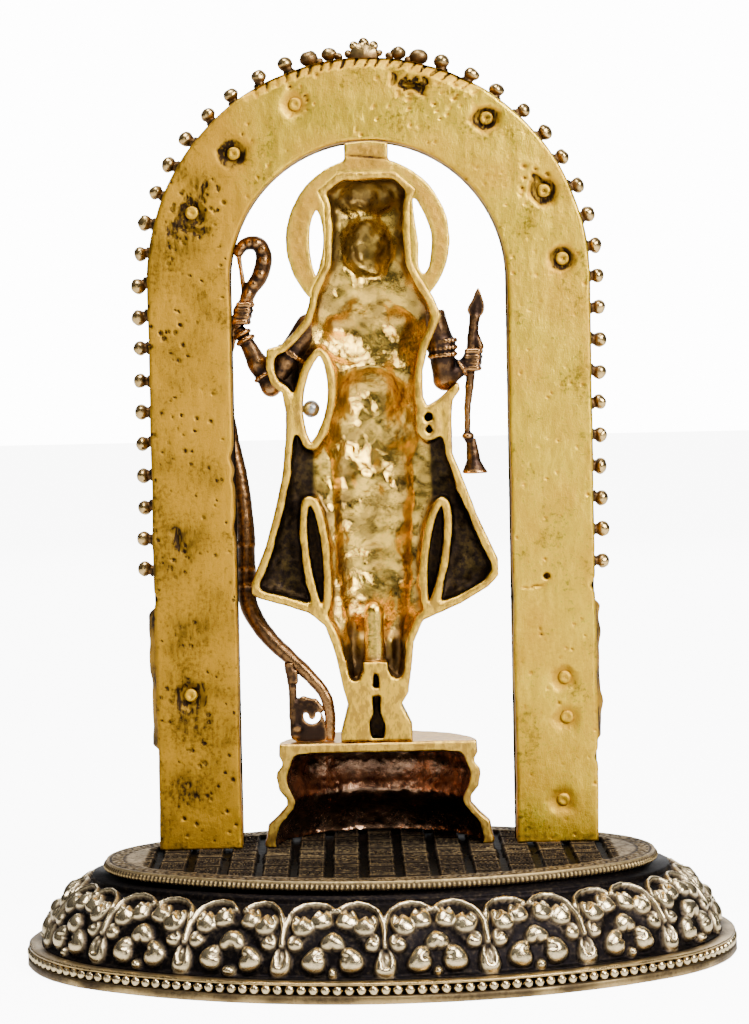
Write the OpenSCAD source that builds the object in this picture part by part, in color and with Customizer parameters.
// Standing brass figure with bow and arrow under an arch, on an oval base.
// The figure faces -Y. Its open back and the arch's flat back lie in one filed plane.

/* [Base] */
// Width of the base at its foot
base_w = 110; // [100:1:120]
// Depth of the base at its foot
base_d = 78; // [74:1:86]
// Distance from the base's middle to the centre of each end's arc
end_x = 24; // [22:0.5:26]
// Height of the base, from the foot to the top of its plate
base_h = 15.6; // [15:0.1:17]
// Height of the foot ring
foot_h = 3.1; // [2.8:0.1:3.6]
// Thickness of the top plate
plate_t = 1.5; // [1.2:0.1:2]
// Distance from the foot's edge in to the plate's edge
plate_inset = 12; // [11:0.1:13]

/* [Arch] */
// Height of the centre of the arch's round head
arch_z = 104.4; // [100:0.1:110]
// Inner radius of the arch
arch_in_r = 21.5; // [21:0.1:24]
// Width of the arch's band
band_w = 13.25; // [11:0.05:14]
// Thickness of the arch's plate
arch_t = 5; // [4:0.1:6]
// Number of knobs round one half of the arch's head
head_knobs = 10; // [8:1:11]
// Number of knobs up one leg
leg_knobs = 9; // [6:1:9]
// Height at which the knobs on a leg start
knobs_z = 59.5; // [58:0.5:62]

/* [Figure] */
// The plane to which the backs of the figure and the arch are filed
back_y = -6; // [-8:0.1:-5]
// Thickness of the cast walls
wall = 1.4; // [1:0.1:1.8]
// Height of the lotus pedestal
pedestal_h = 16.4; // [15:0.1:17]
// Outer radius of the halo
halo_r = 12.9; // [12:0.1:13.5]
// Radius of the bow's stave
stave_r = 1; // [0.8:0.05:1.2]

/* [Hidden] */
$fn = 64;

// The base's oval has four arcs, so that every inset of it has the same centres.
half_w = base_w / 2;
half_d = base_d / 2;
end_r = half_w - end_x;
side_r = (half_w * half_w + half_d * half_d - 2 * half_w * end_r) / (2 * (half_d - end_r));
side_y = side_r - half_d;
turn = atan2(side_y, end_x);

// Foot ring and its bead strip
bead_r = 0.7;
groove_z = foot_h / 2 - 0.3;
foot_t = 2.4;
ledge_t = 0.3;

// Skirt: an arc with its centre inside and below
skirt_r = 14;
skirt_c = [16.1, 0.72];
skirt_t = 1.6;
arc_steps = 7;
shoulder_z = base_h - plate_t - 0.6;
seat_inset = plate_inset + 0.9;

rim_r = 0.5;
plate_edge = plate_inset + 2 * rim_r;

// Arch
arch_out_r = arch_in_r + band_w;
arch_mid_r = arch_in_r + band_w / 2;
leg_h = arch_z - base_h;
front_y = back_y - arch_t;
moulding_r = 0.8;
knob_r = 1.3;
knob_reach = 1.6;
knob_y = front_y + 0.5;
crest_z = arch_z + arch_out_r;
foot_block = [31, 54];

// Rosettes and rivets: angles round the head and heights up the legs
rosette_r = 3.6;
rosette_t = 1.4;
rosette_angles = [5, 25.5, 46, 66.5];
rosette_heights = [24, 42, 60, 78];
rivet_r = 1.1;
rivet_places = [
    [-18.8, 129.1], [-27.6, 117.7], [-30.3, 107.1], [10.9, 131.8], [20.6, 124.4],
    [27.3, 115.3], [29.2, 39.9], [-29.5, 41.5], [-29.8, 35.2], [-29, 22.2]
];

// Fasteners of the arch's legs
stud_r = 1.5;
stud_up = 8;
stud_down = 5;
washer_r = 3.5;
washer_t = 0.5;
nut_r = 3.2;
nut_t = 2.4;
leg_mid_y = back_y - arch_t / 2;

// Pedestal
pedestal_z = base_h + pedestal_h;
pedestal_profile = [
    [18.2, base_h], [17.3, base_h + 4.2], [14.6, base_h + 7.3], [16.4, base_h + 11.2],
    [15.9, base_h + 15], [15.6, pedestal_z]
];

// Half the figure's outline, radius and height, from the feet up
feet_top = pedestal_z + 15;
body_profile = [
    [6.2, pedestal_z], [5.2, 38.5], [6.4, 45], [8.2, 52], [8.8, 62], [9, 74], [8.2, 85],
    [9.8, 93], [10.4, 98], [9.6, 102], [7.6, 106], [7.4, 112], [6.2, 116], [7.4, 119], [4, 121.4]
];

// One side of the cloak, seen from the front
cloak_outline = [
    [8, 79], [12.6, 79.5], [14.6, 73], [16, 66.6], [19.4, 57], [18.8, 55.6],
    [12, 54.4], [8.7, 51], [7.2, 48.4], [7, 60]
];
cloak_hollow = [[12.6, 75], [14.4, 66.4], [17.4, 57.8], [13.6, 56.6]];
cloak_t = 4;

halo_z = 110.6;
halo_t = 2;
halo_in_r = halo_r - 3.3;
tab_w = 6.9;

// Routes of the arms, the bow and the arrow, from the top down
bow_arm_path = [[19.2, -11, 100.4], [20.2, -10.8, 96.8], [15.6, -9.6, 87.6], [9.4, -9, 97.5]];
arrow_arm_path = [[-15.9, -10.4, 91.2], [-12, -10, 88.2], [-9.4, -9, 97.5]];
bow_path = [
    [18.6, -11, 105], [19.6, -12.6, 101.6], [22.4, -15.4, 95], [23.4, -15.8, 88],
    [21.4, -14.4, 78], [20.4, -13.6, 66.6], [20.2, -13.4, 57], [19.2, -12, 51.6],
    [16.6, -10.6, 48], [13.2, -9.6, 45], [9.4, -9, 41.4], [7.6, -9, 37.6], [7.6, -9, 33]
];
bow_loop = [18.2, -11, 108.4];
bow_loop_r = 2.4;
arrow_top = [-17, -10.4, 103];
arrow_bottom = [-15.4, -10.4, 73.7];

// Sweeps a profile round the base. The profile's x is the distance in from the foot's edge.
module round_base() {
    for (side = [0, 180]) {
        rotate([0, 0, side]) {
            translate([end_x, 0, 0])
                rotate([0, 0, -turn])
                    rotate_extrude(angle = 2 * turn)
                        translate([end_r, 0]) mirror([1, 0]) children();
            translate([0, -side_y, 0])
                rotate([0, 0, turn])
                    rotate_extrude(angle = 180 - 2 * turn)
                        translate([side_r, 0]) mirror([1, 0]) children();
        }
    }
}

// The base's oval outline, moved in by an inset
module oval(inset) {
    for (side = [-1, 1]) translate([side * end_x, 0]) circle(r = end_r - inset);
    intersection() {
        translate([0, -side_y]) circle(r = side_r - inset, $fn = 180);
        translate([0, side_y]) circle(r = side_r - inset, $fn = 180);
        square([2 * (end_x + (end_r - inset) * cos(turn)), base_d], center = true);
    }
}

// A straight round rod between two points
module rod(a, b, r) {
    step = b - a;
    lean = acos(step.z / norm(step));
    translate(a) rotate([0, lean, atan2(step.y, step.x)])
        cylinder(r = r, h = norm(step), $fn = 24);
}

// Rods joined end to end along a route, with a slightly larger ball at each point
module route(points, r) {
    for (i = [0 : len(points) - 2]) rod(points[i], points[i + 1], r);
    for (p = points) translate(p) sphere(r = 1.08 * r, $fn = 24);
}

// A half-round form on the front side of the back plane
module half_turn() {
    translate([0, back_y, 0]) rotate([0, 0, 180]) rotate_extrude(angle = 180) children();
}

// Shows its children on both sides of the middle
module both_sides() {
    for (side = [0, 1]) mirror([side, 0, 0]) children();
}

// A flat oval band between two insets, from one height up to another
module band(outer, inner, z0, z1) {
    translate([0, 0, z0]) linear_extrude(z1 - z0) difference() {
        oval(outer);
        oval(inner);
    }
}

module foot_ring() {
    ledge_z = foot_h - ledge_t;
    color("darkgoldenrod") {
        band(0, foot_t, 0, groove_z);
        band(2 * bead_r, foot_t, groove_z, groove_z + 2 * bead_r);
        band(0, foot_t, groove_z + 2 * bead_r, ledge_z);
        band(ledge_t, foot_t + 1.8, ledge_z, foot_h);
    }
}

// A wire's section, eight-sided, so wide that its flats are a radius from its middle
module wire_section(r) {
    rotate(22.5) circle(r = r / cos(22.5), $fn = 8);
}

module bead_strip() {
    color("gold") round_base()
        translate([bead_r, groove_z + bead_r]) wire_section(bead_r);
}

// Points along an arc of the skirt's section, between two heights
function skirt_arc(r, z0, z1) =
    let (a0 = 180 - asin((z0 - skirt_c.y) / r), a1 = 180 - asin((z1 - skirt_c.y) / r))
    [for (i = [0 : arc_steps]) skirt_c + r * [cos(a0 + (a1 - a0) * i / arc_steps),
                                              sin(a0 + (a1 - a0) * i / arc_steps)]];

module base_skirt() {
    inner_r = skirt_r - skirt_t;
    seat_z = base_h - plate_t;
    color("dimgray") round_base() polygon(concat(
        skirt_arc(skirt_r, foot_h, shoulder_z),
        [[seat_inset, shoulder_z], [seat_inset, seat_z], [skirt_c.x, seat_z]],
        skirt_arc(inner_r, skirt_c.y + inner_r, foot_h)
    ));
}

module top_plate() {
    color("darkgoldenrod") difference() {
        translate([0, 0, base_h - plate_t]) linear_extrude(plate_t) oval(plate_edge);
        both_sides()
            translate([arch_mid_r, leg_mid_y, 0]) cylinder(r = stud_r, h = 2 * base_h);
    }
}

module rim_wire() {
    color("goldenrod") round_base()
        translate([plate_edge - rim_r, base_h - plate_t / 2]) wire_section(rim_r);
}

// The arch's flat shape, as it stands, between two radii
module arch_face(r_in, r_out) {
    difference() {
        union() {
            translate([0, arch_z]) circle(r = r_out, $fn = 120);
            translate([-r_out, base_h]) square([2 * r_out, leg_h]);
        }
        translate([0, arch_z]) circle(r = r_in, $fn = 120);
        translate([-r_in, 0]) square([2 * r_in, arch_z]);
    }
}

// Stands a flat shape up, with its back at a given y and its thickness towards the front
module stand(y, t) {
    translate([0, y, 0]) rotate([90, 0, 0]) linear_extrude(t) children();
}

// Puts its children at each rivet's place, along Y
module at_rivets() {
    for (place = rivet_places) {
        translate([place.x, back_y, place.y]) rotate([90, 0, 0]) children();
    }
}

module arch_frame() {
    color("goldenrod") difference() {
        union() {
            stand(back_y, arch_t) arch_face(arch_in_r, arch_out_r);
            both_sides() stand(back_y, arch_t) translate([arch_out_r, foot_block[0]])
                square([1.3, foot_block[1] - foot_block[0]]);
        }
        translate([0, 1, 0]) at_rivets() cylinder(r = rivet_r, h = arch_t + 2);
        both_sides() translate([arch_mid_r, leg_mid_y, base_h - 1])
            cylinder(r = stud_r, h = stud_up + 1);
    }
}

module arch_mouldings() {
    color("gold") {
        stand(front_y, moulding_r) arch_face(arch_in_r, arch_in_r + 2 * moulding_r);
        stand(front_y, moulding_r) arch_face(arch_out_r - 2 * moulding_r, arch_out_r);
    }
}

// One knob, on a stalk that starts at the arch's edge and points along +X
module knob() {
    stalk_r = 0.8;
    rotate([0, 90, 0]) cylinder(r = stalk_r, h = knob_reach, $fn = 24);
    translate([knob_reach, 0, 0]) sphere(r = knob_r - 0.2, $fn = 32);
}

module arch_knobs() {
    leg_pitch = (arch_z - knobs_z) / leg_knobs;
    head_pitch = 78 / head_knobs;
    color("peru") both_sides() {
        for (i = [0 : leg_knobs - 1])
            translate([arch_out_r, knob_y, knobs_z + i * leg_pitch]) knob();
        for (i = [0 : head_knobs - 1])
            translate([0, knob_y, arch_z]) rotate([0, -i * head_pitch, 0])
                translate([arch_out_r - 0.02, 0, 0]) knob();
    }
}

module crest() {
    disc_r = 2.4;
    disc_t = 2;
    petal_r = 0.7;
    disc_z = crest_z + 0.1;
    lumps = [[5.3, 139.97, 1.2], [8.6, 139.5, 1.5]];
    color("gold") {
        difference() {
            stand(knob_y + disc_t / 2, disc_t) translate([0, disc_z]) circle(r = disc_r);
            stand(back_y, 2 * arch_t) translate([0, arch_z]) circle(r = arch_out_r, $fn = 120);
        }
        for (a = [18 : 36 : 162])
            translate([disc_r * cos(a), knob_y, disc_z + disc_r * sin(a)])
                sphere(r = petal_r, $fn = 32);
        both_sides() for (lump = lumps)
            translate([lump.x, knob_y, lump.y]) sphere(r = lump.z, $fn = 32);
    }
}

// Puts its children at each rosette's place, along -Y
module at_rosettes() {
    both_sides() {
        for (a = rosette_angles)
            translate([arch_mid_r * cos(a), front_y, arch_z + arch_mid_r * sin(a)])
                rotate([90, 0, 0]) children();
        for (z = rosette_heights)
            translate([arch_mid_r, front_y, z]) rotate([90, 0, 0]) children();
    }
}

module rosettes() {
    color("gold") at_rosettes() {
        cylinder(r = rosette_r, h = rosette_t / 2);
        cylinder(r1 = rosette_r * 0.6, r2 = rosette_r * 0.3, h = rosette_t * 1.4);
    }
}

module rivets() {
    color("peru") at_rivets() cylinder(r = rivet_r, h = arch_t);
}

module arch_studs() {
    color("silver") both_sides() translate([arch_mid_r, leg_mid_y, base_h - stud_down])
        cylinder(r = stud_r, h = stud_up + stud_down);
}

module arch_washers() {
    color("silver") both_sides()
        translate([arch_mid_r, leg_mid_y, base_h - plate_t - washer_t]) difference() {
            cylinder(r = washer_r, h = washer_t);
            translate([0, 0, -1]) cylinder(r = stud_r, h = washer_t + 2);
        }
}

module arch_nuts() {
    color("silver") both_sides()
        translate([arch_mid_r, leg_mid_y, base_h - plate_t - washer_t - nut_t]) difference() {
            cylinder(r = nut_r, h = nut_t, $fn = 6);
            translate([0, 0, -1]) cylinder(r = stud_r, h = nut_t + 2);
        }
}

module lotus_pedestal() {
    inner = [for (p = pedestal_profile) [p.x - wall, min(p.y, pedestal_z - wall)]];
    color("saddlebrown") half_turn() difference() {
        polygon(concat([[0, base_h]], pedestal_profile, [[0, pedestal_z]]));
        polygon(concat([[0, base_h]], inner, [[0, pedestal_z - wall]]));
    }
}

// The figure's body without its hollow
module body_mass() {
    half_turn() polygon(concat([[0, pedestal_z]], body_profile, [[0, body_profile[14].y]]));
}

// The hollow inside the body, from above the feet to the crown
module body_hollow() {
    inner = [for (p = body_profile) if (p.y > feet_top - 2) [p.x - wall, min(p.y, 119.6)]];
    half_turn() polygon(concat([[0, inner[0].y]], inner, [[0, 119.6]]));
}

module figure() {
    rim = 1.4;
    color("goldenrod") difference() {
        union() {
            body_mass();
            both_sides() stand(back_y, cloak_t) polygon(cloak_outline);
        }
        body_hollow();
        both_sides() translate([0, 1, 0]) stand(back_y, cloak_t - rim + 1) polygon(cloak_hollow);
        translate([0, 1, 0]) stand(back_y, 3) translate([-0.9, pedestal_z + 1]) square([1.8, 6]);
    }
}

module halo() {
    color("goldenrod") stand(back_y, halo_t) {
        difference() {
            translate([0, halo_z]) circle(r = halo_r);
            translate([0, halo_z]) circle(r = halo_in_r);
        }
        difference() {
            translate([-tab_w / 2, halo_z + halo_in_r]) square([tab_w, 8]);
            difference() {
                translate([-tab_w, halo_z]) square([2 * tab_w, 24]);
                translate([0, arch_z]) circle(r = arch_in_r, $fn = 120);
            }
            translate([0, halo_z]) circle(r = halo_in_r);
        }
    }
}

module bow_arm() {
    color("sienna") difference() {
        route(bow_arm_path, 1.9);
        body_mass();
        both_sides() stand(back_y, cloak_t) polygon(cloak_outline);
    }
}

module arrow_arm() {
    color("sienna") difference() {
        route(arrow_arm_path, 1.9);
        body_mass();
        both_sides() stand(back_y, cloak_t) polygon(cloak_outline);
    }
}

module bow() {
    color("sienna") difference() {
        union() {
            route(bow_path, stave_r);
            translate(bow_loop) rotate([90, 0, 0]) rotate_extrude()
                translate([bow_loop_r, 0]) circle(r = stave_r - 0.1, $fn = 24);
        }
        route(bow_arm_path, 1.9);
        both_sides() stand(back_y, cloak_t) polygon(cloak_outline);
        translate([0, 0, pedestal_z - 3]) cube([60, 60, 6], center = true);
    }
}

module bow_bracket() {
    ring = [10.3, -9, 36.2];
    sill = [5, 1.6, 3.6];
    color("sienna") difference() {
        union() {
            rod([13.6, -9, 44.4], [13, -9, pedestal_z - 1], 0.9);
            translate([8, ring.y - sill.y / 2, pedestal_z - 1]) cube(sill);
            translate(ring) rotate([90, 0, 0]) rotate_extrude()
                translate([1.7, 0]) circle(r = 0.6, $fn = 24);
        }
        route(bow_path, stave_r);
        translate([0, 0, pedestal_z - 3]) cube([60, 60, 6], center = true);
    }
}

module arrow() {
    head_l = 8;
    vane = [3.4, 0.8, 6];
    step = arrow_bottom - arrow_top;
    lean = acos(step.z / norm(step));
    color("sienna") difference() {
        translate(arrow_top) rotate([0, lean, atan2(step.y, step.x)]) {
            cylinder(r1 = 0.2, r2 = 1.9, h = head_l - 2, $fn = 24);
            translate([0, 0, head_l - 2]) cylinder(r1 = 1.9, r2 = 0.7, h = 2, $fn = 24);
            translate([0, 0, head_l - 0.5]) cylinder(r = 0.7, h = norm(step) - head_l, $fn = 24);
            translate([-vane.x / 2, -vane.y / 2, norm(step) - vane.z]) cube(vane);
        }
        route(arrow_arm_path, 1.9);
    }
}

module side_bead() {
    color("gold") difference() {
        translate([9.4, -9.4, 84.4]) sphere(r = 1.4);
        body_mass();
    }
}

foot_ring();
bead_strip();
base_skirt();
top_plate();
rim_wire();
arch_frame();
arch_mouldings();
arch_knobs();
crest();
rosettes();
rivets();
arch_studs();
arch_washers();
arch_nuts();
lotus_pedestal();
figure();
halo();
bow_arm();
arrow_arm();
bow();
bow_bracket();
arrow();
side_bead();
